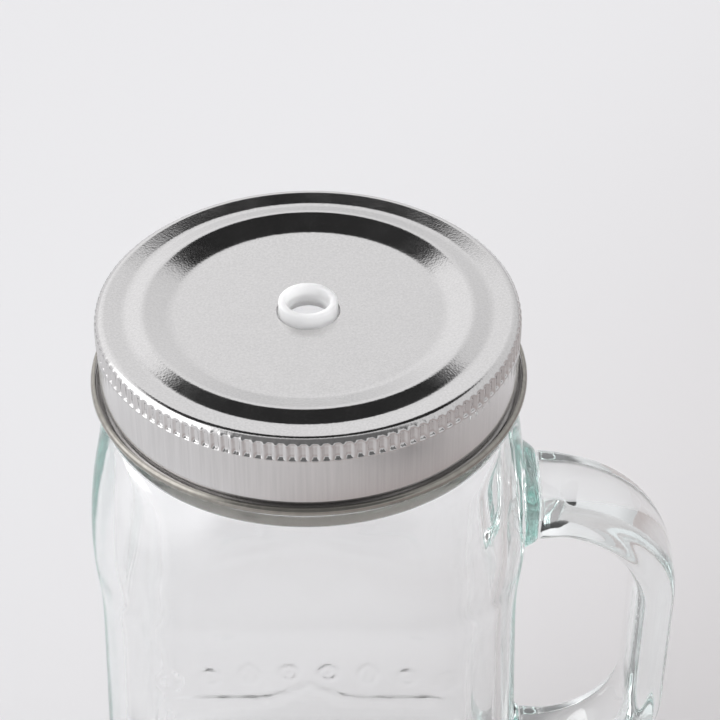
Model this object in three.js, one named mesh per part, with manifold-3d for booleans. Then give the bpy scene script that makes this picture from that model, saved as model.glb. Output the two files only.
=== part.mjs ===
// Handled glass drinking jar with a screw-on straw lid.
// Millimetres, +Z up. The jar stands on Z = 0 and the origin is the middle of its footprint,
// so the jar's own axis is the vertical line X = AXIS_X, Y = 0 and the handle points to +X.
import * as THREE from 'three';
import { mergeVertices } from 'three/addons/utils/BufferGeometryUtils.js';
import Module from 'manifold-3d';

const wasm = await Module();
wasm.setup();

// ---------------------------------------------------------------- driving dimensions

const LID_TOP = 139; // crest of the lid's raised ridge
const BEAD_R = 36.9; // outer radius of the lid's rolled bead
const REACH = 66; // jar axis to the outer face of the handle's grip
const AXIS_X = (BEAD_R - REACH) / 2;
const GAP = 0.3; // air kept between pieces that touch

// Glass body: half-width and corner radius of its rounded-square section
const BODY = { half: 36.4, corner: 12, waist: 35.3, shoulder: 36.9, foot: 30, wall: 3.3, floor: 4.6 };
const PUSH_UP = { rim: 25, top: 22, depth: 1.5 }; // hollow under the base
const NECK = { top: LID_TOP - 2.9, root: 31.8, rim: 32.2, bore: 29.3, collar: 34.8 };

// Four-start thread: each rib covers part of a turn and the lid's lugs run under them
const THREAD = { starts: 4, lead: 14, crest: 33.4, half: 0.8, from: -22, to: 48, embed: 1, play: 0.35 };

// Lid, measured down from LID_TOP
const LID = { wall: 0.8, outer: 35.3, panel: 23, ridge: 27.4, valley: 30.3, hole: 5.3 };
const PANEL_DROP = 1.3;
const VALLEY_DROP = 0.5;
const SHOULDER_DROP = 0.2;
const CORNER = 1.5; // radius of the lid's top outer corner
const KNURL = { from: 2, to: 4.2, proud: 0.15, ramp: 0.2 };
const BEAD = { drop: 14.4, radius: 1 };
const LUG = { count: 4, inner: 32.5, top: 12.2, thick: 1, span: 14, taper: 0.7, root: 35 };

const SEAL = { inner: 29, outer: 33.9, top: 1.6, thick: 1 };
const GROMMET = { rise: 0.9, outer: 4.95, bore: 3.75, lip: 3.35, flange: 7.5, tail: 5.5 };

// Handle: centre line in the XZ plane, measured from the jar axis and the table
const HANDLE = { width: 16, corner: 3.6, arm: 10.2, neck: 8.6, grip: 7.6, bend: 20.5 };
const ARM_Z = { high: LID_TOP - 42, low: LID_TOP - 108.5 };
const PAD = { face: 39.9, root: 34, width: 20, height: 18, corner: 4 };

const AROUND = 64; // facets of a turned piece
const ARC = 8; // facets of one rounded corner

// ---------------------------------------------------------------- geometry helpers

/** Closed skin over a stack of rings that each have the same number of points. */
function loft(rings) {
  const count = rings[0].length;
  const points = rings.flat();
  const index = [];
  for (let ring = 0; ring + 1 < rings.length; ring += 1) {
    for (let j = 0; j < count; j += 1) {
      const a = ring * count + j;
      const b = ring * count + ((j + 1) % count);
      index.push(a, b, b + count, a, b + count, a + count);
    }
  }
  for (const [ring, flip] of [[0, true], [rings.length - 1, false]]) {
    const middle = new THREE.Vector3();
    rings[ring].forEach((p) => middle.addScaledVector(p, 1 / count));
    points.push(middle);
    for (let j = 0; j < count; j += 1) {
      const a = ring * count + j;
      const b = ring * count + ((j + 1) % count);
      index.push(points.length - 1, flip ? b : a, flip ? a : b);
    }
  }
  const geometry = new THREE.BufferGeometry().setFromPoints(points);
  geometry.setIndex(index);
  return geometry;
}

/** Points of a rounded rectangle about the origin, counter-clockwise. */
function roundedRectangle(halfA, halfB, corner) {
  const quarters = [[1, 1], [-1, 1], [-1, -1], [1, -1]];
  return quarters.flatMap(([signA, signB], quarter) => {
    const points = [];
    for (let k = 0; k <= ARC; k += 1) {
      const angle = (quarter + k / ARC) * (Math.PI / 2);
      points.push([
        signA * (halfA - corner) + corner * Math.cos(angle),
        signB * (halfB - corner) + corner * Math.sin(angle),
      ]);
    }
    return points;
  });
}

/** One level of the jar: a rounded square, or nearly a circle where corner is close to half. */
function level([z, half, corner = half * 0.985]) {
  return roundedRectangle(half, half, corner).map(([x, y]) => new THREE.Vector3(x, y, z));
}

/** Turned piece about +Z from a closed outline of [radius, z] points, counter-clockwise. */
function turned(outline, around = AROUND) {
  const profile = [...outline, outline[0]].map(([r, z]) => new THREE.Vector2(r, z));
  return new THREE.LatheGeometry(profile, around).rotateX(Math.PI / 2);
}

function toSolid(geometry) {
  const bare = geometry.clone();
  bare.deleteAttribute('normal');
  bare.deleteAttribute('uv');
  const merged = mergeVertices(bare, 1e-4);
  const mesh = new wasm.Mesh({
    numProp: 3,
    vertProperties: new Float32Array(merged.attributes.position.array),
    triVerts: new Uint32Array(merged.index.array),
  });
  return new wasm.Manifold(mesh);
}

function toGeometry(solid) {
  const mesh = solid.getMesh();
  const geometry = new THREE.BufferGeometry();
  geometry.setAttribute('position', new THREE.BufferAttribute(mesh.vertProperties, 3));
  geometry.setIndex(new THREE.BufferAttribute(mesh.triVerts, 1));
  return geometry;
}

function piece(name, geometry, look) {
  geometry.computeVertexNormals();
  const mesh = new THREE.Mesh(geometry, new THREE.MeshStandardMaterial(look));
  mesh.name = name;
  return mesh;
}

const GLASS_LOOK = { color: 0xdfeeea, roughness: 0.03, metalness: 0, transparent: true, opacity: 0.35 };
const TINPLATE_LOOK = { color: 0xc9c8c6, roughness: 0.28, metalness: 1 };
const LINER_LOOK = { color: 0xe9e6dc, roughness: 0.6, metalness: 0 };
const GROMMET_LOOK = { color: 0xf4f5f4, roughness: 0.35, metalness: 0 };

// ---------------------------------------------------------------- glass body

/** Outer levels from the foot to the rim: [z, half-width, corner radius]. */
function outerLevels() {
  const { half, corner, waist, shoulder, foot } = BODY;
  const collar = LID_TOP - 18.6;
  return [
    [0, foot, corner - 2],
    [0.8, foot + 2.1, corner - 1],
    [2.8, half - 2.2, corner],
    [6, half - 0.7, corner],
    [11, half, corner],
    [LID_TOP - 98, half, corner],
    [LID_TOP - 80, half - 0.2, corner],
    [LID_TOP - 67, waist + 0.4, corner],
    [LID_TOP - 55, waist + 0.1, corner + 1],
    [LID_TOP - 47, waist, corner + 2],
    [LID_TOP - 42.5, waist + 0.4, corner + 4],
    [LID_TOP - 38.5, shoulder - 0.5, corner + 7],
    [LID_TOP - 34, shoulder, corner + 10],
    [LID_TOP - 29, shoulder - 0.2, corner + 14],
    [LID_TOP - 24.5, shoulder - 1, corner + 18.5],
    [LID_TOP - 20.8, shoulder - 2.4, corner + 21.8],
    [collar, NECK.collar - 1],
    [collar + 0.6, NECK.collar - 0.2],
    [collar + 2.2, NECK.collar],
    [collar + 3.3, NECK.collar - 0.3],
    [collar + 3.75, NECK.collar - 1.2],
    [collar + 3.8, NECK.root],
    [NECK.top - 1.6, NECK.root],
    [NECK.top - 1.2, NECK.rim],
    [NECK.top - 0.5, NECK.rim],
    [NECK.top, NECK.rim - 0.7],
  ];
}

/** Levels of the hollow, from the inner floor out through the mouth. */
function hollowLevels() {
  const { half, corner, waist, shoulder, wall, floor } = BODY;
  return [
    [floor, half - 9, corner - 4],
    [floor + 0.6, half - 6, corner - 3],
    [floor + 2, half - 4.4, corner - 3],
    [floor + 6, half - wall, corner - 3],
    [LID_TOP - 98, half - wall, corner - 3],
    [LID_TOP - 67, waist + 0.4 - wall, corner - 3],
    [LID_TOP - 48, waist - wall, corner - 1],
    [LID_TOP - 41, waist + 0.4 - wall, corner + 3],
    [LID_TOP - 35.5, shoulder - 0.4 - wall, corner + 6.5],
    [LID_TOP - 30, shoulder - 0.4 - wall, corner + 11],
    [LID_TOP - 25, shoulder - 1.6 - wall, corner + 15],
    [LID_TOP - 21, shoulder - 3.4 - wall, corner + 17],
    [LID_TOP - 17.5, NECK.bore + 0.3],
    [LID_TOP - 14, NECK.bore],
    [NECK.top + 1, NECK.bore],
  ];
}

/** One thread rib: a rounded ridge that climbs the neck and fades out at both ends. */
function threadRib(start) {
  const steps = 14;
  const rings = [];
  for (let i = 0; i <= steps; i += 1) {
    const turn = THREAD.from + ((THREAD.to - THREAD.from) * i) / steps;
    const fade = Math.min(1, 0.35 + Math.min(i, steps - i) * 0.33);
    const angle = THREE.MathUtils.degToRad(start + turn);
    const middle = LID_TOP - LUG.top + THREAD.play + THREAD.half + (THREAD.lead * turn) / 360;
    const crest = NECK.root + (THREAD.crest - NECK.root) * fade;
    const outline = [
      [NECK.root - THREAD.embed, -THREAD.half * 0.95],
      [NECK.root, -THREAD.half * 0.95],
      [crest, -THREAD.half * 0.45],
      [crest, THREAD.half * 0.3],
      [NECK.root, THREAD.half * 0.95],
      [NECK.root - THREAD.embed, THREAD.half * 0.95],
    ];
    rings.push(outline.map(([r, z]) => (
      new THREE.Vector3(r * Math.cos(angle), r * Math.sin(angle), middle + z * (0.6 + 0.4 * fade))
    )));
  }
  return loft(rings.reverse());
}

/** Raised pad on the +X wall that the handle is fused to. */
function handlePad(z) {
  const stations = [
    [PAD.root, PAD.width, PAD.height],
    [36.2, PAD.width - 0.5, PAD.height - 1],
    [37.6, HANDLE.width + 1.6, HANDLE.arm + 4],
    [PAD.face - 1, HANDLE.width + 0.4, HANDLE.arm + 1],
    [PAD.face, HANDLE.width, HANDLE.arm + 0.4],
  ];
  return loft(stations.map(([x, width, height]) => (
    roundedRectangle(width / 2, height / 2, PAD.corner).map(([y, dz]) => new THREE.Vector3(x, y, z + dz))
  )));
}

function jarBody() {
  let glass = toSolid(loft(outerLevels().map(level)));
  for (let k = 0; k < THREAD.starts; k += 1) {
    glass = glass.add(toSolid(threadRib((360 / THREAD.starts) * k)));
  }
  for (const z of [ARM_Z.high, ARM_Z.low]) glass = glass.add(toSolid(handlePad(z)));
  glass = glass.subtract(toSolid(loft(hollowLevels().map(level))));
  const recess = turned([[0, -1], [PUSH_UP.rim, -1], [PUSH_UP.rim, 0], [PUSH_UP.top, PUSH_UP.depth],
    [0, PUSH_UP.depth]]);
  return toGeometry(glass.subtract(toSolid(recess)));
}

// ---------------------------------------------------------------- glass handle

/** Centre line of the C-shaped handle, from the upper pad round to the lower one. */
function handleCentre() {
  const start = PAD.face + GAP;
  const grip = REACH - HANDLE.grip / 2;
  const bendX = grip - HANDLE.bend;
  const flat = (x, z) => new THREE.Vector3(x, 0, z);
  const bend = (cz, from, to) => {
    const points = [];
    for (let k = 0; k <= ARC; k += 1) {
      const angle = from + ((to - from) * k) / ARC;
      points.push(flat(bendX + HANDLE.bend * Math.cos(angle), cz + HANDLE.bend * Math.sin(angle)));
    }
    return points;
  };
  const upper = bend(ARM_Z.high - HANDLE.bend, Math.PI / 2, 0);
  const lower = bend(ARM_Z.low + HANDLE.bend, 0, -Math.PI / 2);
  return [flat(start, ARM_Z.high), ...upper, ...lower, flat(start, ARM_Z.low)];
}

function jarHandle() {
  const line = handleCentre();
  const last = line.length - 1;
  const rings = line.map((point, k) => {
    const before = line[Math.max(0, k - 1)];
    const after = line[Math.min(last, k + 1)];
    const along = new THREE.Vector3().subVectors(after, before).normalize();
    const outward = new THREE.Vector3(-along.z, 0, along.x);
    const atEnd = k === 0 || k === last;
    const thick = atEnd ? HANDLE.arm : HANDLE.grip + (HANDLE.neck - HANDLE.grip) * along.x ** 2;
    return roundedRectangle(HANDLE.width / 2, thick / 2, HANDLE.corner).map(([y, out]) => (
      point.clone().addScaledVector(outward, out).add(new THREE.Vector3(0, y, 0))
    ));
  });
  return loft(rings);
}

// ---------------------------------------------------------------- lid

/** Closed outline of the stamped shell: down the outside, back up the inside. */
function lidOutline() {
  const top = LID_TOP;
  const { wall, outer, panel, ridge, valley, hole } = LID;
  const beadZ = top - BEAD.drop + BEAD.radius;
  const beadR = BEAD_R - BEAD.radius;
  const corner = [];
  for (let k = 0; k <= 4; k += 1) {
    const angle = (Math.PI / 2) * (1 - k / 4);
    corner.push([
      outer - CORNER + CORNER * Math.cos(angle),
      top - SHOULDER_DROP - CORNER + CORNER * Math.sin(angle),
    ]);
  }
  const bead = [];
  for (let k = 0; k <= 8; k += 1) {
    const angle = Math.PI * (0.75 - (1.55 * k) / 8);
    bead.push([beadR + BEAD.radius * Math.cos(angle), beadZ + BEAD.radius * Math.sin(angle)]);
  }
  const inner = outer - wall;
  return [
    [hole, top - PANEL_DROP],
    [panel, top - PANEL_DROP],
    [ridge, top],
    [valley, top - VALLEY_DROP],
    ...corner,
    [outer + KNURL.proud, top - KNURL.from],
    [outer + KNURL.proud, top - KNURL.to],
    [outer, top - KNURL.to - KNURL.ramp],
    ...bead,
    [inner, beadZ - 0.6],
    [inner, top - 1.9],
    [inner - 0.8, top - wall - 0.3],
    [valley, top - VALLEY_DROP - wall],
    [ridge, top - wall],
    [panel - 0.3, top - PANEL_DROP - wall],
    [hole, top - PANEL_DROP - wall],
  ];
}

/** Tab pressed inwards from the skirt, which hooks under one thread rib. */
function lug(middle) {
  const steps = 4;
  const rings = [];
  for (let i = 0; i <= steps; i += 1) {
    const angle = THREE.MathUtils.degToRad(middle + LUG.span * (i / steps - 0.5));
    const inner = LUG.inner + (i === 0 || i === steps ? LUG.taper : 0);
    const outline = [
      [inner, -LUG.thick * 0.85],
      [LUG.root, -LUG.thick],
      [LUG.root, 0],
      [inner, -LUG.thick * 0.15],
    ];
    rings.push(outline.map(([r, z]) => (
      new THREE.Vector3(r * Math.cos(angle), r * Math.sin(angle), LID_TOP - LUG.top + z)
    )));
  }
  return loft(rings.reverse());
}

function lidShell() {
  let shell = toSolid(turned(lidOutline().reverse()));
  for (let k = 0; k < LUG.count; k += 1) {
    shell = shell.add(toSolid(lug((360 / LUG.count) * k)));
  }
  return toGeometry(shell);
}

// ---------------------------------------------------------------- liner and grommet

function sealRing() {
  const top = LID_TOP - SEAL.top;
  return turned([
    [SEAL.inner, top - SEAL.thick],
    [SEAL.outer, top - SEAL.thick],
    [SEAL.outer, top],
    [SEAL.inner, top],
  ]);
}

/** Tube through the straw hole with a rounded mouth above and a flange below the panel. */
function strawGrommet() {
  const mouth = LID_TOP + GROMMET.rise;
  const underPanel = LID_TOP - PANEL_DROP - LID.wall - GAP;
  const tail = LID_TOP - GROMMET.tail;
  const { outer, bore, lip, flange } = GROMMET;
  return turned([
    [bore + 0.15, mouth - 0.25],
    [bore, mouth - 0.6],
    [bore, mouth - 2.4],
    [lip, mouth - 2.7],
    [lip, mouth - 3.3],
    [bore, mouth - 3.6],
    [bore, tail],
    [outer, tail],
    [outer, underPanel - 0.9],
    [flange, underPanel - 0.8],
    [flange, underPanel],
    [outer, underPanel],
    [outer, mouth - 0.7],
    [outer - 0.15, mouth - 0.2],
    [outer - 0.45, mouth],
    [bore + 0.4, mouth],
  ], AROUND / 2);
}

// ---------------------------------------------------------------- assembly

const jar = new THREE.Group();
jar.position.set(AXIS_X, 0, 0);
jar.add(piece('jar_body', jarBody(), GLASS_LOOK));
jar.add(piece('jar_handle', jarHandle(), GLASS_LOOK));

const lid = new THREE.Group();
lid.position.set(AXIS_X, 0, 0);
lid.add(piece('lid_shell', lidShell(), TINPLATE_LOOK));
lid.add(piece('seal_ring', sealRing(), LINER_LOOK));
lid.add(piece('straw_grommet', strawGrommet(), GROMMET_LOOK));

const drinkingJar = new THREE.Group();
drinkingJar.add(jar, lid);

export default drinkingJar;
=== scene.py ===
# %% [markdown]
# # A glass drinking jar with a handle and a screw-on straw lid
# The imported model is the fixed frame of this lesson. Its solids are plain, so each one is replaced here by a
# finer piece of the same size in the same place: pressed glass, stamped tinplate, and two soft rings. The
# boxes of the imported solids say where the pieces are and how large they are.

# %% Load the frame
import math

import bmesh
import bpy
from mathutils import Matrix, Vector, noise


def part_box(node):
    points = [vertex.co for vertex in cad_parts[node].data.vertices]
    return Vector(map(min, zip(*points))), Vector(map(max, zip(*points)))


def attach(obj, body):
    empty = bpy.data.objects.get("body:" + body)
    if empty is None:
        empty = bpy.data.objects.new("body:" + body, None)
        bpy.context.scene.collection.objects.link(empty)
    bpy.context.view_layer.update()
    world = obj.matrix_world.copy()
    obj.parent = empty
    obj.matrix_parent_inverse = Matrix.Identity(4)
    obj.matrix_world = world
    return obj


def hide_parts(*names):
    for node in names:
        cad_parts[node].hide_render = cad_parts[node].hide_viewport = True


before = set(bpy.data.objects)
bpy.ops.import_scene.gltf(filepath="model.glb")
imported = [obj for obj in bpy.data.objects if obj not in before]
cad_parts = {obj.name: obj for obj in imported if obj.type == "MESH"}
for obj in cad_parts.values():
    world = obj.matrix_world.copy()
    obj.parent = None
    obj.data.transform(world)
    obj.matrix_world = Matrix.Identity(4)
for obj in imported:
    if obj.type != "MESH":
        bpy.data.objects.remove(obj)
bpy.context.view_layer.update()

# %% [markdown]
# The jar and its lid are round or nearly so about one upright axis. It is easiest to draw such pieces in
# millimetres, with that axis at the origin and the table at zero, and to move the drawing into place at the
# end. The move is one matrix. It is applied to the mesh itself, so every object stays at the origin. Heights
# on the lid and the upper glass are counted from the crest of the lid, the way they would be measured on a
# real jar.

# %% Name the places that the pieces share
MM = 0.001
lid_low, lid_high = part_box("lid_shell")
jar_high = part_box("jar_body")[1]
handle_low, handle_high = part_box("jar_handle")
AXIS = Vector(((lid_low.x + lid_high.x) / 2, 0, 0))
TO_FRAME = Matrix.Translation(AXIS) @ Matrix.Scale(MM, 4)
TOP = lid_high.z / MM  # crest of the lid's ridge
BEAD_R = (lid_high.x - lid_low.x) / 2 / MM  # outside of the rolled bead
MOUTH = jar_high.z / MM  # sealing face of the glass
REACH = (handle_high.x - AXIS.x) / MM  # outer face of the handle's grip
print(f"lid crest {TOP:.1f}, bead radius {BEAD_R:.1f}, glass mouth {MOUTH:.1f}, handle reach {REACH:.1f}")


# %% [markdown]
# Most outlines here are a few corners joined by straight runs, with each corner eased. A quadratic curve
# that leaves one run and joins the next does this. Where the easing reaches half way along both runs, the
# whole outline turns into one flowing curve, which is what a glass wall needs.


# %% Outlines with eased corners, and arcs
MERGE = 1e-4  # points closer than this are taken as one


def eased(corners, steps=4):
    """Points along an outline whose corners are (numbers..., ease).

    The ease is how far from the corner its curve starts. None starts it half way along the run.
    """
    knots = [Vector(corner[:-1]) for corner in corners]
    points = [knots[0]]
    for before, knot, after, corner in zip(knots, knots[1:], knots[2:], corners[1:]):
        reach_in, reach_out = before - knot, after - knot
        ease_in = ease_out = corner[-1]
        if corner[-1] is None:
            ease_in, ease_out = reach_in.length / 2, reach_out.length / 2
        start = knot + reach_in.normalized() * ease_in
        end = knot + reach_out.normalized() * ease_out
        for k in range(steps + 1):
            t = k / steps
            point = start * (1 - t) ** 2 + knot * (2 * t * (1 - t)) + end * t**2
            if (point - points[-1]).length > MERGE:
                points.append(point)
    return points + [knots[-1]]


def steadied(points, longest, beside):
    """The same outline with a point just inside each end of a long run, which keeps its shading flat."""
    out = [points[0]]
    for point in points[1:]:
        gap = point - out[-1]
        if gap.length > longest:
            start = out[-1]
            out += [start + gap.normalized() * beside, point - gap.normalized() * beside]
        out.append(point)
    return out


def arc(centre, radius, start, end, steps):
    """Points on an arc about centre, between two angles in degrees."""
    angles = [math.radians(start + (end - start) * k / steps) for k in range(steps + 1)]
    return [Vector((centre[0] + radius * math.cos(a), centre[1] + radius * math.sin(a))) for a in angles]


def smooth(t):
    """0 below t = 0, 1 above t = 1, and a soft S between."""
    t = min(1.0, max(0.0, t))
    return t * t * (3 - 2 * t)


# %% [markdown]
# Three helpers turn a drawing into a piece. A round piece is an outline spun about the axis. The glass isn't
# round, so it is a grid wrapped round the jar: a column of the grid is a direction, and a row is a level.
# The last helper moves the drawing into the frame and says which solid it stands for.


# %% Spin, wrap, and finish a piece
def spun(outline, steps, closed):
    """A bmesh of an outline of (radius, height) points spun round the axis."""
    bm = bmesh.new()
    verts = [bm.verts.new((radius, 0, height)) for radius, height in outline]
    edges = [bm.edges.new(pair) for pair in zip(verts, verts[1:])]
    if closed:
        edges.append(bm.edges.new((verts[-1], verts[0])))
    bmesh.ops.spin(
        bm, geom=verts + edges, cent=(0, 0, 0), axis=(0, 0, 1), angle=math.tau, steps=steps, use_merge=True
    )
    bmesh.ops.remove_doubles(bm, verts=bm.verts, dist=MERGE)
    bmesh.ops.recalc_face_normals(bm, faces=bm.faces)
    return bm


def wrapped(around, stations, place):
    """A bmesh of a grid closed round on itself. place(column, station) gives each point."""
    bm = bmesh.new()
    bmesh.ops.create_grid(bm, x_segments=around, y_segments=len(stations) - 1, size=1)
    for vert in bm.verts:
        column = round((vert.co.x + 1) / 2 * around) % around
        row = round((vert.co.y + 1) / 2 * (len(stations) - 1))
        vert.co = place(column, stations[row])
    bmesh.ops.remove_doubles(bm, verts=bm.verts, dist=MERGE)
    bmesh.ops.recalc_face_normals(bm, faces=bm.faces)
    return bm


def finished(bm, name, body, nodes, materials):
    """Moves a drawing into the frame, makes it an object, and says what it stands for."""
    bmesh.ops.transform(bm, matrix=TO_FRAME, verts=bm.verts)
    for face in bm.faces:
        face.smooth = True
    mesh = bpy.data.meshes.new(name)
    bm.to_mesh(mesh)
    bm.free()
    for material in materials:
        mesh.materials.append(material)
    piece = bpy.data.objects.new(name, mesh)
    bpy.context.scene.collection.objects.link(piece)
    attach(piece, body)
    if nodes:
        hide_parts(*nodes)
    print(f"{name}: {len(mesh.vertices)} points, {len(mesh.polygons)} faces, on body {body}")
    return piece


# %% [markdown]
# ## Finishes
# Each finish is one Principled shader. Its plain numbers sit on the shader's own sockets. Only what varies
# over the surface comes from nodes, on Object coordinates in metres.


# %% A bare material with its shader
def plain(name, **sockets):
    """A new material, its node tree and its Principled shader, with the named sockets set."""
    material = bpy.data.materials.new(name)
    material.use_nodes = True
    tree = material.node_tree
    shader = tree.nodes["Principled BSDF"]
    for socket, value in sockets.items():
        shader.inputs[socket.replace("_", " ")].default_value = value
    return material, tree, shader


def grain(tree, scale, stretch, detail=3.0):
    """A noise texture on Object coordinates. A stretch under 1 on an axis draws the grain out along it."""
    place = tree.nodes.new("ShaderNodeTexCoord")
    mapping = tree.nodes.new("ShaderNodeMapping")
    mapping.inputs["Scale"].default_value = stretch
    texture = tree.nodes.new("ShaderNodeTexNoise")
    texture.inputs["Scale"].default_value = scale
    texture.inputs["Detail"].default_value = detail
    tree.links.new(place.outputs["Object"], mapping.inputs["Vector"])
    tree.links.new(mapping.outputs["Vector"], texture.inputs["Vector"])
    return texture


def bump(tree, shader, texture, distance, strength):
    """Bends a shader's normal by a texture, with its height in metres."""
    node = tree.nodes.new("ShaderNodeBump")
    node.inputs["Strength"].default_value = strength
    node.inputs["Distance"].default_value = distance
    tree.links.new(texture.outputs["Fac"], node.inputs["Height"])
    tree.links.new(node.outputs["Normal"], shader.inputs["Normal"])


NOISE_LOW, NOISE_HIGH = 0.3, 0.7  # nearly all of a noise texture lies between these


def spread(tree, texture, socket, low, high):
    """Drives a socket by a texture, between two values."""
    node = tree.nodes.new("ShaderNodeMapRange")
    node.inputs["From Min"].default_value = NOISE_LOW
    node.inputs["From Max"].default_value = NOISE_HIGH
    node.inputs["To Min"].default_value = low
    node.inputs["To Max"].default_value = high
    tree.links.new(texture.outputs["Fac"], node.inputs["Value"])
    tree.links.new(node.outputs["Result"], socket)


def tone(tree, texture, shader, dark, light):
    """Drives a shader's colour by a texture, between two colours."""
    node = tree.nodes.new("ShaderNodeValToRGB")
    first, second = node.color_ramp.elements
    first.position, first.color = NOISE_LOW, dark
    second.position, second.color = NOISE_HIGH, light
    tree.links.new(texture.outputs["Fac"], node.inputs["Fac"])
    tree.links.new(node.outputs["Color"], shader.inputs["Base Color"])


# %% [markdown]
# Bottle glass is clear face-on and green through a long path, because iron in it takes out red. That is a
# property of the depth, so it is a Volume Absorption, not a surface colour.


# %% Soda glass
def soda_glass():
    material, tree, shader = plain("soda_glass", Transmission_Weight=1.0, Roughness=0.0, IOR=1.5)
    shader.inputs["Base Color"].default_value = (1, 1, 1, 1)
    depth = tree.nodes.new("ShaderNodeVolumeAbsorption")
    depth.inputs["Color"].default_value = (0.3, 0.78, 0.7, 1)
    depth.inputs["Density"].default_value = 2.2
    tree.links.new(depth.outputs["Volume"], tree.nodes["Material Output"].inputs["Volume"])
    return material


# %% [markdown]
# The lid is tin-plated steel sheet. Rolling leaves a fine grain, and drawing the skirt pulls that grain into
# upright streaks. A noise with almost no change along Z gives both: specks on the top, streaks on the skirt.
# The specks differ in tone as well as in height, because a bright even room hides a bump. The inner face is
# coated with a dull gold lacquer.


# %% Tinplate and its inner lacquer
def tinplate():
    material, tree, shader = plain("brushed_tinplate", Metallic=1.0)
    fine = grain(tree, 2600, (1, 1, 0.03))
    tone(tree, fine, shader, (0.645, 0.636, 0.63, 1), (0.72, 0.71, 0.703, 1))
    bump(tree, shader, fine, 0.00002, 0.6)
    broad = grain(tree, 260, (1, 1, 0.15), detail=4.0)
    spread(tree, broad, shader.inputs["Roughness"], 0.1, 0.15)
    return material


def lacquer():
    material, tree, shader = plain("gold_lacquer", Metallic=0.85, Coat_Weight=0.4)
    fine = grain(tree, 900, (1, 1, 0.2))
    tone(tree, fine, shader, (0.3, 0.285, 0.255, 1), (0.38, 0.362, 0.325, 1))
    spread(tree, fine, shader.inputs["Roughness"], 0.12, 0.2)
    return material


# %% [markdown]
# The grommet is a milky soft plastic that light soaks into, so it takes subsurface scattering. The liner is
# a duller white compound.


# %% Soft plastics
def milky_plastic():
    material, tree, shader = plain("milky_plastic", Subsurface_Weight=1.0, Subsurface_Scale=0.01)
    shader.inputs["Base Color"].default_value = (0.98, 0.98, 0.98, 1)
    shader.inputs["Subsurface Radius"].default_value = (1, 1, 1)
    fine = grain(tree, 1500, (1, 1, 1))
    spread(tree, fine, shader.inputs["Roughness"], 0.3, 0.4)
    return material


def liner_compound():
    material, tree, shader = plain("liner_compound")
    shader.inputs["Base Color"].default_value = (0.85, 0.83, 0.77, 1)
    fine = grain(tree, 1200, (1, 1, 1))
    spread(tree, fine, shader.inputs["Roughness"], 0.5, 0.65)
    bump(tree, shader, fine, 0.00003, 0.5)
    return material


GLASS = soda_glass()
TINPLATE = tinplate()
LACQUER = lacquer()
MILKY = milky_plastic()
COMPOUND = liner_compound()
print("finishes:", [material.name for material in bpy.data.materials])

# %% [markdown]
# ## The camera, the floor and the light
# The camera looks down on the lid at about 38 degrees through a long lens. The floor is one large pale
# plane, and it fills the picture. Away from the window, to the front and the right, its colour falls off to a
# deeper, warmer grey: painted shade standing in for the jar's shadow and the dimmer room on that side. The
# upright skirt of the lid mirrors that part of the floor, and so it shades from left to right.

# %% Camera
CAMERA_FROM_CREST = Vector((8.6, -279.9, 206.1)) * MM
CAMERA_PITCH = math.radians(37.9)
camera = bpy.data.objects.new("camera", bpy.data.cameras.new("camera"))
camera.data.lens = 105
camera.data.sensor_width = 36
camera.location = AXIS + Vector((0, 0, TOP * MM)) + CAMERA_FROM_CREST
camera.rotation_euler = (math.pi / 2 - CAMERA_PITCH, 0, 0)
bpy.context.scene.collection.objects.link(camera)
bpy.context.scene.camera = camera
print("camera at", [round(c, 4) for c in camera.location])

# %% Floor
FLOOR_REACH = 12.0
# Painted shade: the floor colour darkens towards the front and the right, where the jar's shadow would fall.
PAINTED_SHADE_ALONG = Vector((1.5, -1, 0))  # towards the front and the right
PAINTED_SHADE_FROM, PAINTED_SHADE_TO = -0.3, 0.68
bm = bmesh.new()
bmesh.ops.create_grid(bm, x_segments=1, y_segments=1, size=FLOOR_REACH)
floor_mesh = bpy.data.meshes.new("floor")
bm.to_mesh(floor_mesh)
bm.free()
floor_look, floor_tree, floor_shader = plain("pale_floor_painted_shade", Roughness=0.9, Specular_IOR_Level=0.0)
floor_place = floor_tree.nodes.new("ShaderNodeTexCoord")
painted_shade_dot = floor_tree.nodes.new("ShaderNodeVectorMath")
painted_shade_dot.operation = "DOT_PRODUCT"
painted_shade_dot.inputs[1].default_value = PAINTED_SHADE_ALONG
floor_tree.links.new(floor_place.outputs["Object"], painted_shade_dot.inputs[0])
painted_shade_ramp = floor_tree.nodes.new("ShaderNodeMapRange")
painted_shade_ramp.interpolation_type = "SMOOTHSTEP"
painted_shade_ramp.inputs["From Min"].default_value = PAINTED_SHADE_FROM + PAINTED_SHADE_ALONG.x * AXIS.x
painted_shade_ramp.inputs["From Max"].default_value = PAINTED_SHADE_TO + PAINTED_SHADE_ALONG.x * AXIS.x
floor_tree.links.new(painted_shade_dot.outputs["Value"], painted_shade_ramp.inputs["Value"])
# The pale floor colour blends here into a darker, warmer grey, which is painted shade.
painted_shade_mix = floor_tree.nodes.new("ShaderNodeMix")
painted_shade_mix.data_type = "RGBA"
painted_shade_mix.inputs["A"].default_value = (0.8, 0.795, 0.805, 1)
painted_shade_mix.inputs["B"].default_value = (0.49, 0.443, 0.434, 1)
floor_tree.links.new(painted_shade_ramp.outputs["Result"], painted_shade_mix.inputs["Factor"])
floor_tree.links.new(painted_shade_mix.outputs["Result"], floor_shader.inputs["Base Color"])
floor_mesh.materials.append(floor_look)
floor = bpy.data.objects.new("floor", floor_mesh)
bpy.context.scene.collection.objects.link(floor)
print("floor reaches", FLOOR_REACH, "m each way")

# %% [markdown]
# Clear glass and bright metal show what is around them, so the surroundings are the real light here. The
# room is pale, with these parts:
# - A dark patch high up behind the jar draws the dark bands on the lid. It stops short of overhead, so that
#   the lid isn't black from above.
# - The walls are brighter on the left, dimmer near the floor, and dark high up behind the camera.
# - A window on the left adds light of its own.
#
# A soft sun from the back left lifts the floor and gives it a gentle shadow.


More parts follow.
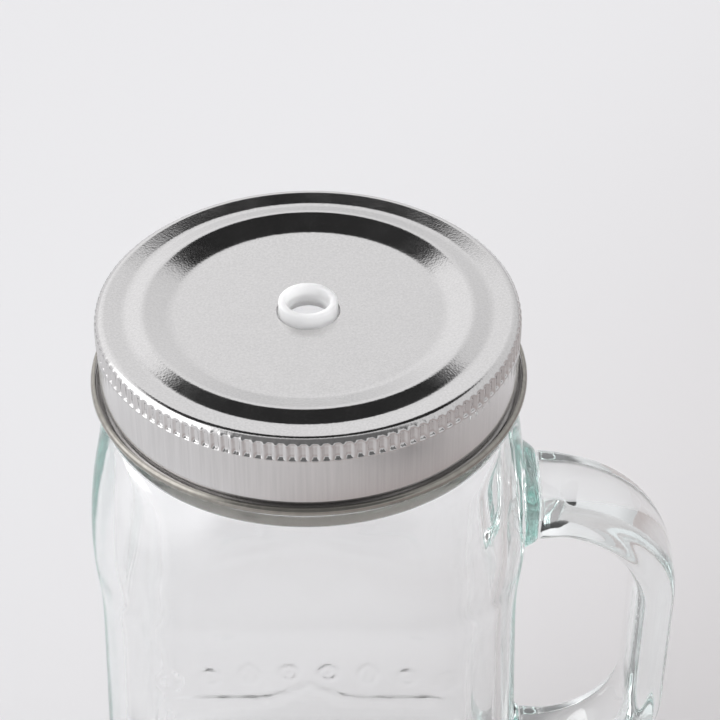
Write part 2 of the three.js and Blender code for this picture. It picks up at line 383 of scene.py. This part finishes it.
# %% Room light
def room():
    world = bpy.data.worlds.new("room")
    world.use_nodes = True
    tree = world.node_tree
    place = tree.nodes.new("ShaderNodeTexCoord")

    def ramp(source, low, high, at_low, at_high):
        node = tree.nodes.new("ShaderNodeMapRange")
        node.interpolation_type = "SMOOTHSTEP"
        values = {"From Min": low, "From Max": high, "To Min": at_low, "To Max": at_high}
        for name, value in values.items():
            node.inputs[name].default_value = value
        tree.links.new(source, node.inputs["Value"])
        return node.outputs["Result"]

    def facing(azimuth, elevation):
        """How nearly a direction points this way: the cosine of the angle between them."""
        a, e = math.radians(azimuth), math.radians(elevation)
        node = tree.nodes.new("ShaderNodeVectorMath")
        node.operation = "DOT_PRODUCT"
        node.inputs[1].default_value = (math.cos(a) * math.cos(e), math.sin(a) * math.cos(e), math.sin(e))
        tree.links.new(place.outputs["Generated"], node.inputs[0])
        return node.outputs["Value"]

    def combine(operation, first, second):
        node = tree.nodes.new("ShaderNodeMath")
        node.operation = operation
        tree.links.new(first, node.inputs[0])
        tree.links.new(second, node.inputs[1])
        return node.outputs["Value"]

    def cone(azimuth, elevation, outer, inner, outside, inside):
        """A level that changes between two angles from a direction."""
        edges = math.cos(math.radians(outer)), math.cos(math.radians(inner))
        return ramp(facing(azimuth, elevation), *edges, outside, inside)

    dark_patch = cone(90, 73, 29, 27, 1.0, 0.03)
    overhead = cone(-90, 26, 76, 73, 0.0, 1.0)
    patch = combine("MAXIMUM", dark_patch, overhead)
    sides = ramp(facing(180, 0), -0.6, 0.6, 0.8, 1.12)
    behind_camera = ramp(facing(-90, 52), 0.68, 0.84, 1.0, 0.2)
    horizon = ramp(facing(0, 90), 0.0, 0.35, 0.74, 1.0)
    walls = combine("MULTIPLY", combine("MULTIPLY", sides, behind_camera), horizon)
    window = cone(185, 35, 34, 22, 0.0, 1.1)
    level = combine("ADD", combine("MULTIPLY", patch, walls), window)
    background = tree.nodes["Background"]
    background.inputs["Color"].default_value = (0.985, 0.985, 1.0, 1)
    tree.links.new(level, background.inputs["Strength"])
    return world


bpy.context.scene.world = room()

# %% Sun, bounces and view
TO_SUN = Vector((-0.8, 0.6, 0.65))
BOUNCES = 160  # light that is trapped in thick glass turns many corners before it leaves
sun = bpy.data.objects.new("soft_sun", bpy.data.lights.new("soft_sun", "SUN"))
sun.data.energy = 1.93
sun.data.angle = math.radians(40)
sun.rotation_euler = TO_SUN.to_track_quat("Z", "Y").to_euler()
sun.visible_glossy = False
bpy.context.scene.collection.objects.link(sun)
bpy.context.scene.view_settings.view_transform = "Standard"
bpy.context.scene.cycles.use_denoising = True
bpy.context.scene.cycles.max_bounces = BOUNCES
bpy.context.scene.cycles.transmission_bounces = BOUNCES
bpy.context.scene.cycles.glossy_bounces = BOUNCES
print("room and sun are in place")

# %% [markdown]
# ## The lid
# It is one sheet of tinplate. A flat panel with the straw hole, a raised ridge, a shallow valley and a
# rounded shoulder lead to a straight skirt, whose end is rolled outwards into a bead. The outline follows
# the middle of the sheet. Spinning it gives the whole shape, and Solidify gives the sheet its thickness.
# Rolling the edge outwards turns the lacquered inner face to the outside, so the bead is darker and warmer
# than the skirt.

# %% Lid outline
SHEET = 0.3
HALF_SHEET = SHEET / 2
HOLE_R, PANEL_R, RIDGE_R, VALLEY_R, SKIRT_R = 5.3, 23.0, 27.4, 30.5, 35.3
PANEL_DROP, VALLEY_DROP, SHOULDER_DROP = 1.3, 0.75, 0.2
SHOULDER_ROUND = 1.5
BEAD_DROP = 14.36
CURL = 0.62
CLEAR = 0.02  # Solidify makes the tight curl a little thicker than the sheet
sheet_z = -HALF_SHEET  # the middle of the sheet where its upper face is at the crest
skirt_r = SKIRT_R - HALF_SHEET
curl_r = BEAD_R - HALF_SHEET - CURL - CLEAR
curl_z = -BEAD_DROP + HALF_SHEET + CURL
panel = eased(
    [
        (HOLE_R, sheet_z - PANEL_DROP, 0),
        (PANEL_R, sheet_z - PANEL_DROP, 0.7),
        (RIDGE_R, sheet_z, 0.5),
        (VALLEY_R, sheet_z - VALLEY_DROP, 0.6),
        (SKIRT_R - SHOULDER_ROUND, sheet_z - SHOULDER_DROP, 0),
    ],
    steps=3,
)
shoulder = arc(
    (SKIRT_R - SHOULDER_ROUND, sheet_z - SHOULDER_DROP - SHOULDER_ROUND + HALF_SHEET),
    SHOULDER_ROUND - HALF_SHEET, 90, 0, 6,
)
KNURL_TOP, KNURL_END = -1.0, -4.1
KNURL_RAMP = 0.16  # height over which a pocket goes from nothing to its full depth
knurl_rows = [-2.8, KNURL_END + KNURL_RAMP, KNURL_END + KNURL_RAMP / 2, KNURL_END]
plain_rows = [-4.4, -8.5, -12.6]
skirt = [Vector((skirt_r, height)) for height in knurl_rows + plain_rows]
bead = arc((curl_r, curl_z), CURL, 180, 452, 11)
lid_outline = steadied(panel[:-1] + shoulder, longest=1.0, beside=0.15) + skirt + bead
print(f"lid outline: {len(lid_outline)} points")

# %% [markdown]
# The grip band under the shoulder is a row of small pockets pressed into the sheet, with narrow ribs between
# them. The spun mesh has eight columns for each rib: one on its crest, one at each of its edges, and five in
# the pocket beside it. Moving points in or out by their angle and height draws the band.

# %% Lid sheet with its knurled band
RIBS = 126
COLUMNS_PER_RIB = 8
POCKET_DEPTH = 0.3
RIB_PROUD = 0.12
POCKET_EDGE, POCKET_RAMP = 0.82, 0.3  # as shares of half the pitch


def pocket(angle, height):
    """How far the sheet is pressed in here, from 0 on a rib to 1 in the middle of a pocket."""
    across = abs((angle / math.tau * RIBS) % 1 - 0.5) * 2
    upright = min(smooth((KNURL_TOP - height) / KNURL_RAMP), smooth((height - KNURL_END) / KNURL_RAMP))
    return smooth((POCKET_EDGE - across) / POCKET_RAMP) * upright


bm = spun(lid_outline, RIBS * COLUMNS_PER_RIB, closed=False)
for vert in bm.verts:
    radius = math.hypot(vert.co.x, vert.co.y)
    if radius > SKIRT_R - SHOULDER_ROUND and KNURL_END < vert.co.z < KNURL_TOP:
        angle = math.atan2(vert.co.y, vert.co.x)
        push = RIB_PROUD - (POCKET_DEPTH + RIB_PROUD) * pocket(angle, vert.co.z)
        vert.co.x *= 1 + push / radius
        vert.co.y *= 1 + push / radius
bmesh.ops.translate(bm, vec=(0, 0, TOP), verts=bm.verts)
top_face = max(bm.faces, key=lambda face: face.calc_center_median().z)
if top_face.normal.z < 0:
    bmesh.ops.reverse_faces(bm, faces=bm.faces)
lid = finished(bm, "tinplate_lid", "lid", ["lid_shell"], [TINPLATE, LACQUER])
sheet = lid.modifiers.new("sheet", "SOLIDIFY")
sheet.thickness = SHEET * MM
sheet.offset = 0
sheet.material_offset = 1
sheet.material_offset_rim = 0

# %% [markdown]
# Four lugs inside the skirt hook under the glass threads. Each is a short bent tab, made by spinning a small
# rounded section through a few degrees and closing its ends.

# %% Lugs
LUGS, LUG_SPAN = 4, 14
LUG_ROOT, LUG_INNER, LUG_TOP, LUG_THICK = 34.9, 32.5, -12.2, 0.9


def lug(bm, turn):
    """One tab, centred at this many degrees."""
    section = eased(
        [
            (LUG_ROOT, LUG_TOP, 0),
            (LUG_INNER, LUG_TOP - 0.1, 0.4),
            (LUG_INNER, LUG_TOP - LUG_THICK, 0.4),
            (LUG_ROOT, LUG_TOP - LUG_THICK - 0.1, 0),
        ]
    )
    verts = [bm.verts.new((radius, 0, TOP + height)) for radius, height in section]
    start = bm.faces.new(verts)
    bmesh.ops.rotate(
        bm, verts=verts, cent=(0, 0, 0), matrix=Matrix.Rotation(math.radians(turn - LUG_SPAN / 2), 3, "Z")
    )
    bmesh.ops.spin(
        bm, geom=[start, *start.edges, *verts], cent=(0, 0, 0), axis=(0, 0, 1),
        angle=math.radians(LUG_SPAN), steps=10, use_duplicate=False,
    )


bm = bmesh.new()
for k in range(LUGS):
    lug(bm, 360 / LUGS * k)
bmesh.ops.recalc_face_normals(bm, faces=bm.faces)
finished(bm, "lid_lugs", "lid", [], [LACQUER])

# %% [markdown]
# ## The liner and the grommet
# Both are closed sections spun round the axis. Each outline starts and ends at a seam in the middle of a
# flat side. The liner is a flat ring of sealing compound. The grommet is a short tube with a soft round
# mouth, a ledge inside that grips the straw, and a flange that holds it from below.

# %% Liner
liner_low, liner_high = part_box("seal_ring")
liner_out = (liner_high.x - liner_low.x) / 2 / MM
LINER_IN, LINER_SEAM = 29.0, 31.4
liner_outline = eased(
    [
        (LINER_SEAM, liner_low.z / MM, 0),
        (liner_out, liner_low.z / MM, 0.35),
        (liner_out, liner_high.z / MM, 0.35),
        (LINER_IN, liner_high.z / MM, 0.35),
        (LINER_IN, liner_low.z / MM, 0.35),
        (LINER_SEAM - 0.1, liner_low.z / MM, 0),
    ]
)
bm = spun(liner_outline, 192, closed=True)
finished(bm, "sealing_liner", "liner", ["seal_ring"], [COMPOUND])

# %% Grommet
grommet_low, grommet_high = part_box("straw_grommet")
MOUTH_Z = grommet_high.z / MM
FLANGE_R = (grommet_high.x - grommet_low.x) / 2 / MM
TUBE_R, BORE_R, LEDGE_R, SEAM_R = 4.95, 3.65, 3.2, 4.4
UNDER_PANEL = TOP - PANEL_DROP - SHEET - 0.25
FLANGE_THICK = 0.8
TAIL_Z = UNDER_PANEL - FLANGE_THICK - 0.5
grommet_outline = eased(
    [
        (SEAM_R, MOUTH_Z, 0),
        (BORE_R, MOUTH_Z, 0.55),
        (BORE_R, MOUTH_Z - 1.6, 0.3),
        (LEDGE_R, MOUTH_Z - 2.1, 0.2),
        (LEDGE_R, MOUTH_Z - 2.7, 0.2),
        (BORE_R, MOUTH_Z - 3.1, 0.2),
        (BORE_R, TAIL_Z, 0.3),
        (TUBE_R, TAIL_Z, 0.3),
        (TUBE_R, UNDER_PANEL - FLANGE_THICK, 0.2),
        (FLANGE_R, UNDER_PANEL - FLANGE_THICK, 0.35),
        (FLANGE_R, UNDER_PANEL, 0.35),
        (TUBE_R, UNDER_PANEL, 0.15),
        (TUBE_R, MOUTH_Z, 0.5),
        (SEAM_R + 0.01, MOUTH_Z, 0),
    ]
)
bm = spun(grommet_outline, 128, closed=True)
finished(bm, "straw_grommet_soft", "lid", ["straw_grommet"], [MILKY])

# %% [markdown]
# ## The glass body
# The body is a rounded square that turns into a circle at the neck. One skin covers it all: from the middle
# of the base, out and up the wall, over the rim, and down the inside to the middle of the floor. Each level
# of the skin is a half-width, a height and a corner radius. The columns are crowded on the front and the
# back, which carry the relief.


# %% Section of the body
def ring_radius(half, corner, angle):
    """Distance from the axis to a rounded square of this half-width, in this direction."""
    along, across = abs(math.cos(angle)), abs(math.sin(angle))
    if across > along:
        along, across = across, along
    centre = half - min(corner, half)
    if half / along * across <= centre:
        return half / along
    lean = centre * (along + across)
    return lean + math.sqrt(max(0.0, lean**2 - 2 * centre**2 + min(corner, half) ** 2))


COLUMNS = 424
CROWDING = 0.22  # in radians, the most that a column is moved


def column_angle(column):
    """Direction of a column, in radians from +X."""
    part = column / COLUMNS
    return math.tau * part + CROWDING * math.sin(2 * math.tau * part)


# %% [markdown]
# The lists below give the levels, each with the ease of its corner. The wall narrows a little towards a
# waist, swells under the shoulder and closes in to the neck. The collar under the lid is cut back below.

# %% Levels of the outside
ROUND = 99.0  # a corner radius this large makes a circle
collar = TOP - 18.6
foot = [
    (0.01, 1.5, ROUND, 0),
    (21.5, 1.5, ROUND, 0.8),
    (24.8, 0.0, ROUND, 0.8),
    (30.0, 0.0, 10.0, 1.6),
    (33.6, 1.2, 11.5, None),
    (36.0, 4.6, 12.0, None),
    (36.4, 11.0, 12.0, 1.0),
]
wall = [
    (36.4, 11.0, 12.0, 0),
    (36.4, TOP - 98, 12.0, None),
    (36.2, TOP - 80, 12.0, None),
    (35.7, TOP - 67, 12.0, None),
    (35.4, TOP - 55, 13.0, None),
    (35.25, TOP - 47, 14.0, None),
    (35.6, TOP - 42.5, 16.0, None),
    (36.5, TOP - 38.5, 19.0, None),
    (36.9, TOP - 34, 22.0, None),
    (36.9, TOP - 29, 26.0, None),
    (36.1, TOP - 24.5, 30.5, None),
    (34.4, TOP - 20.8, 33.8, None),
    (33.2, collar - 0.5, 33.2, 0),
]
neck = [
    (33.2, collar - 0.5, ROUND, 0),
    (32.8, collar + 2.1, ROUND, 0.2),
    (35.5, collar + 1.0, ROUND, 0.25),
    (35.5, collar + 3.6, ROUND, 0.5),
    (33.4, collar + 4.1, ROUND, 0.8),
    (31.8, collar + 4.1, ROUND, 0.3),
    (31.8, MOUTH - 2.0, ROUND, 0.5),
    (32.2, MOUTH - 1.2, ROUND, 0.2),
    (32.2, MOUTH, ROUND, 0.6),
    (29.3, MOUTH, ROUND, 0.6),
]

# %% [markdown]
# The hollow follows the outer wall at one thickness, so that the wall doesn't act as a lens and what lies
# behind the jar shows through in its true place.

# %% Levels of the hollow
WALL = 3.3
hollow = [(29.3, MOUTH, ROUND, 0), (29.3, TOP - 15, ROUND, None), (29.9, TOP - 18.2, ROUND, None)]
hollow += [(half - WALL, height, corner - WALL, None) for half, height, corner, _ in reversed(wall[:-1])]
hollow += [(32.4, 6.2, 8.7, None), (30.0, 4.6, 8.7, None), (22.0, 4.6, 12.0, None), (0.01, 4.6, ROUND, 0)]


# %% [markdown]
# A long straight run needs more rows where the relief is. `rows` walks along the eased outline and adds
# points, so that no step is longer than the one allowed at its height.


# %% Rows of the skin
def rows(points, step_at):
    """The same outline with long steps divided. step_at(height) is the longest step allowed there."""
    out = [points[0]]
    for point in points[1:]:
        gap = point - out[-1]
        reach = math.hypot(gap[0], gap[1])
        if reach < MERGE:
            continue
        height = (point[1] + out[-1][1]) / 2
        parts = max(1, math.ceil(reach / step_at(height)))
        start = out[-1]
        out += [start + gap * ((k + 1) / parts) for k in range(parts)]
    return out


GARLAND_Z, GARLAND_RISE = TOP - 50.5, 2.4
FRAME_TOP, FRAME_END = TOP - 57.0, TOP - 103.0
HANDLE_HIGH, HANDLE_LOW = TOP - 42, TOP - 108.5
FINE_BANDS = [  # from, to, longest step
    (FRAME_TOP - 2, GARLAND_Z + 3.4, 0.5),
    (FRAME_END - 5, FRAME_END + 2, 0.6),
    (HANDLE_HIGH - 10, HANDLE_HIGH + 10, 1.5),
    (HANDLE_LOW - 10, HANDLE_LOW + 10, 1.5),
    (collar + 4, MOUTH + 1, 0.9),
]
PLAIN_STEP, INSIDE_STEP = 2.6, 5.0


def outside_step(height):
    """Longest step between rows on the outer wall."""
    steps = [step for low, high, step in FINE_BANDS if low < height < high]
    return steps[0] if steps else PLAIN_STEP


outer_rows = rows(eased(foot, 4) + eased(wall, 3)[1:] + eased(neck, 4)[1:], outside_step)
inner_rows = rows(eased(hollow, 3)[1:], lambda height: INSIDE_STEP)
stations = [(row, True) for row in outer_rows] + [(row, False) for row in inner_rows]
print(f"glass skin: {len(outer_rows)} rows outside, {len(inner_rows)} rows inside, {COLUMNS} columns")


# %% [markdown]
# The front and the back carry a moulded relief: a garland of leaves and berries on a shallow arc, and below
# it a plain label frame with a pointed top and foot. Each line is a soft ridge drawn from a distance to a
# shape: it is highest on the shape's edge and fades to nothing beside it.


# %% Relief on the faces
def beyond(a, b, half_a, half_b, corner):
    """Distance from (a, b) to a rounded rectangle about the origin, less than zero inside it."""
    over_a, over_b = abs(a) - half_a + corner, abs(b) - half_b + corner
    return math.hypot(max(over_a, 0), max(over_b, 0)) + min(max(over_a, over_b), 0) - corner


def line(distance, half_width):
    """Height of a soft line, from 1 on it to 0 beside it."""
    return smooth(1.35 - abs(distance) / half_width)


MOTIFS, LEAVES = 8, (0, 2, 5, 7)  # the other motifs are berries
MOTIF_PITCH, MOTIF_REACH = 6.6, 4.0
GARLAND_HALF_WIDE = 24.0
LEAF_TALL, LEAF_WIDE, VEIN_TALL = 2.4, 1.5, 1.6
BERRY_R, SEED_R = 1.5, 0.6
FINE_LINE, VEIN_LINE, FRAME_LINE = 0.45, 0.4, 1.1
FRAME_HALF_WIDE, FRAME_CORNER = 24.5, 4.0
POINT_HALF_WIDE, POINT_TALL, POINT_HOLLOW = 8.5, 3.6, 0.65
RELIEF, FRAME_RELIEF = 0.18, 0.09
RELIEF_HALF_WIDE = 27.0
WEAR, WEAR_SIZE = 0.4, 1.6


def leaf(a, b):
    """Height of a leaf about the origin: its outline and the vein down its middle."""
    edge = abs(a) - LEAF_WIDE * (1 - (b / LEAF_TALL) ** 2)
    outline = line(edge, FINE_LINE) if abs(b) < LEAF_TALL else 0.0
    vein = line(a, VEIN_LINE) * smooth((VEIN_TALL - abs(b)) / 0.6)
    return max(outline, vein)


def berry(a, b):
    """Height of a berry about the origin: its outline and the seed in its middle."""
    away = math.hypot(a, b)
    return max(line(away - BERRY_R, FINE_LINE), smooth(1.4 - away / SEED_R))


def garland(across, height):
    """Leaves and berries in turn, on an arc."""
    best = 0.0
    for k in range(MOTIFS):
        middle = (k - (MOTIFS - 1) / 2) * MOTIF_PITCH
        a = across - middle
        b = height - (GARLAND_Z - GARLAND_RISE * (middle / GARLAND_HALF_WIDE) ** 2)
        if abs(a) <= MOTIF_REACH and abs(b) <= MOTIF_REACH:
            best = max(best, leaf(a, b) if k in LEAVES else berry(a, b))
    return best


def label_frame(across, height):
    """One line round a tall panel, with a point in the middle of its top and its foot."""
    middle, half_tall = (FRAME_TOP + FRAME_END) / 2, (FRAME_TOP - FRAME_END) / 2
    nearness = max(0.0, 1 - abs(across) / POINT_HALF_WIDE)
    point = POINT_TALL * ((1 - POINT_HOLLOW) * nearness + POINT_HOLLOW * nearness**2)
    away = beyond(across, abs(height - middle) - point, FRAME_HALF_WIDE, half_tall, FRAME_CORNER)
    return line(away, FRAME_LINE)


def relief(across, height):
    """Height of the relief here. The mould is worn, so the lines come and go a little."""
    if FRAME_END - 6 < height < GARLAND_Z + 4 and abs(across) < RELIEF_HALF_WIDE:
        wear = 1 + WEAR * noise.noise(Vector((across, height, 0)) / WEAR_SIZE)
        return wear * max(RELIEF * garland(across, height), FRAME_RELIEF * label_frame(across, height))
    return 0.0


# %% [markdown]
# Three more things stand out from the wall: the two pads that the handle is fused to, the four-start thread
# on the neck, and short ribs under the foot that keep the hot glass off the belt. The inside of the wall
# isn't moulded but blown, so it gets slow waves of a tenth of a millimetre.

# %% Pads, threads, foot ribs and waves
PAD_GAP = 0.3  # between a pad's face and the handle's end
PAD_FACE = (handle_low.x - AXIS.x) / MM - PAD_GAP
PAD_HALF_WIDE, PAD_HALF_TALL, PAD_CORNER, PAD_SPREAD = 8.0, 5.3, 3.6, 3.2
STARTS, LEAD, THREAD_CREST, THREAD_HALF = 4, 14.0, 1.6, 0.8
THREAD_FROM, THREAD_TO, THREAD_FADE = -22, 48, 8  # in degrees
THREAD_PLAY = 0.35  # a lug hooks under a thread with this much room
THREAD_Z = TOP + LUG_TOP + THREAD_PLAY + THREAD_HALF
FOOT_RIBS, FOOT_RIB_DEEP, FOOT_RIB_IN, FOOT_RIB_OUT = 72, 0.35, 25.4, 34.0
WAVE, WAVES_AROUND, WAVE_TALL = 0.1, 1.7, 26.0
WAVE_FADE_R = 20.0  # the waves fade out inside this radius, towards the middle of the floor


def pad_share(across, height):
    """1 on a pad's face, 0 on the bare wall."""
    share = 0.0
    for middle in (HANDLE_HIGH, HANDLE_LOW):
        away = beyond(across, height - middle, PAD_HALF_WIDE, PAD_HALF_TALL, PAD_CORNER)
        share = max(share, smooth(1 - away / PAD_SPREAD))
    return share


def thread_height(angle, height):
    """How far a thread rib stands out of the neck here."""
    best = 0.0
    for start in range(STARTS):
        turn = (math.degrees(angle) - 360 / STARTS * start + 180) % 360 - 180
        if THREAD_FROM < turn < THREAD_TO:
            ends = smooth(min(turn - THREAD_FROM, THREAD_TO - turn) / THREAD_FADE)
            away = abs(height - THREAD_Z - LEAD * turn / 360)
            best = max(best, THREAD_CREST * ends * smooth((THREAD_HALF * 1.3 - away) / 0.6))
    return best


def jar_point(column, station):
    """Where the skin is in one direction at one level."""
    (half, height, corner), outside = station
    angle = column_angle(column)
    radius = ring_radius(half, corner, angle)
    if not outside:
        place = math.cos(angle) * WAVES_AROUND, math.sin(angle) * WAVES_AROUND, height / WAVE_TALL
        radius += WAVE * noise.noise(Vector(place)) * smooth(radius / WAVE_FADE_R)
        return Vector((radius * math.cos(angle), radius * math.sin(angle), height))
    if collar + 4 < height < MOUTH - 1.5:
        radius += thread_height(angle, height)
    if height < 0.5 and FOOT_RIB_IN < radius < FOOT_RIB_OUT:
        groove = smooth(math.sin(angle * FOOT_RIBS) + 0.5)
        height += FOOT_RIB_DEEP * groove * smooth((radius - FOOT_RIB_IN) / 0.8)
    x, y = radius * math.cos(angle), radius * math.sin(angle)
    if abs(y) > abs(x):
        y += math.copysign(relief(x * math.copysign(1, -y), height), y)
    elif x > 0 and height < collar - 2:
        share = pad_share(y, height)
        x += (PAD_FACE - x) * share
    return Vector((x, y, height))


bm = wrapped(COLUMNS, stations, jar_point)
finished(bm, "glass_jar", "jar", ["jar_body"], [GLASS])

# %% [markdown]
# ## The glass handle
# The handle is a thick bar bent into a C. Its section is a rounded rectangle, thickest where it meets the
# pads. A grid wrapped round the bent centre line draws it, and its two flat ends close it.

# %% Handle centre line
GRIP_THICK, NECK_THICK, ARM_THICK = 7.6, 9.6, 11.2
ARM_REACH = 6.0  # the bar thickens towards a pad over this length
BEND = 20.5
BAR_HALF_WIDE = (handle_high.y - handle_low.y) / 2 / MM
START_X = PAD_FACE + PAD_GAP
grip_x = REACH - GRIP_THICK / 2
bend_x = grip_x - BEND
centre_line = (
    [Vector((START_X, HANDLE_HIGH)), Vector((START_X + 0.6, HANDLE_HIGH))]
    + arc((bend_x, HANDLE_HIGH - BEND), BEND, 90, 0, 30)
    + arc((bend_x, HANDLE_LOW + BEND), BEND, 0, -90, 30)
    + [Vector((START_X + 0.6, HANDLE_LOW)), Vector((START_X, HANDLE_LOW))]
)


# %% Handle skin
BAR_COLUMNS = 72
ROUNDING = 3.6  # 2 makes the section an ellipse, and more makes it squarer
last = len(centre_line) - 1


def bar_station(k):
    """Centre, outward direction and half-thickness of the bar at one point of its centre line."""
    before, after = centre_line[max(0, k - 1)], centre_line[min(last, k + 1)]
    along = (after - before).normalized()
    lying = along.x**2
    thick = GRIP_THICK + (NECK_THICK - GRIP_THICK) * lying
    from_end = (centre_line[k].x - START_X) / ARM_REACH
    if lying > 0.5:
        thick += (ARM_THICK - NECK_THICK) * (1 - smooth(from_end))
    return centre_line[k], Vector((-along.y, along.x)), thick / 2


def bar_point(column, station):
    """A point of the bar's skin. The section is a rounded rectangle."""
    (centre, outward, half_thick), closing = station
    angle = math.tau * column / BAR_COLUMNS
    across, out = math.cos(angle), math.sin(angle)
    squareness = (abs(across) ** ROUNDING + abs(out) ** ROUNDING) ** (-1 / ROUNDING)
    across, out = across * squareness * BAR_HALF_WIDE * closing, out * squareness * half_thick * closing
    return Vector((centre.x + outward.x * out, across, centre.y + outward.y * out))


bar = [(bar_station(k), 1.0) for k in range(last + 1)]
closings = (0.0, 0.5, 0.93)
ends = [[(bar_station(k), closing) for closing in closings] for k in (0, last)]
bm = wrapped(BAR_COLUMNS, ends[0] + bar + ends[1][::-1], bar_point)
finished(bm, "glass_handle", "jar", ["jar_handle"], [GLASS])
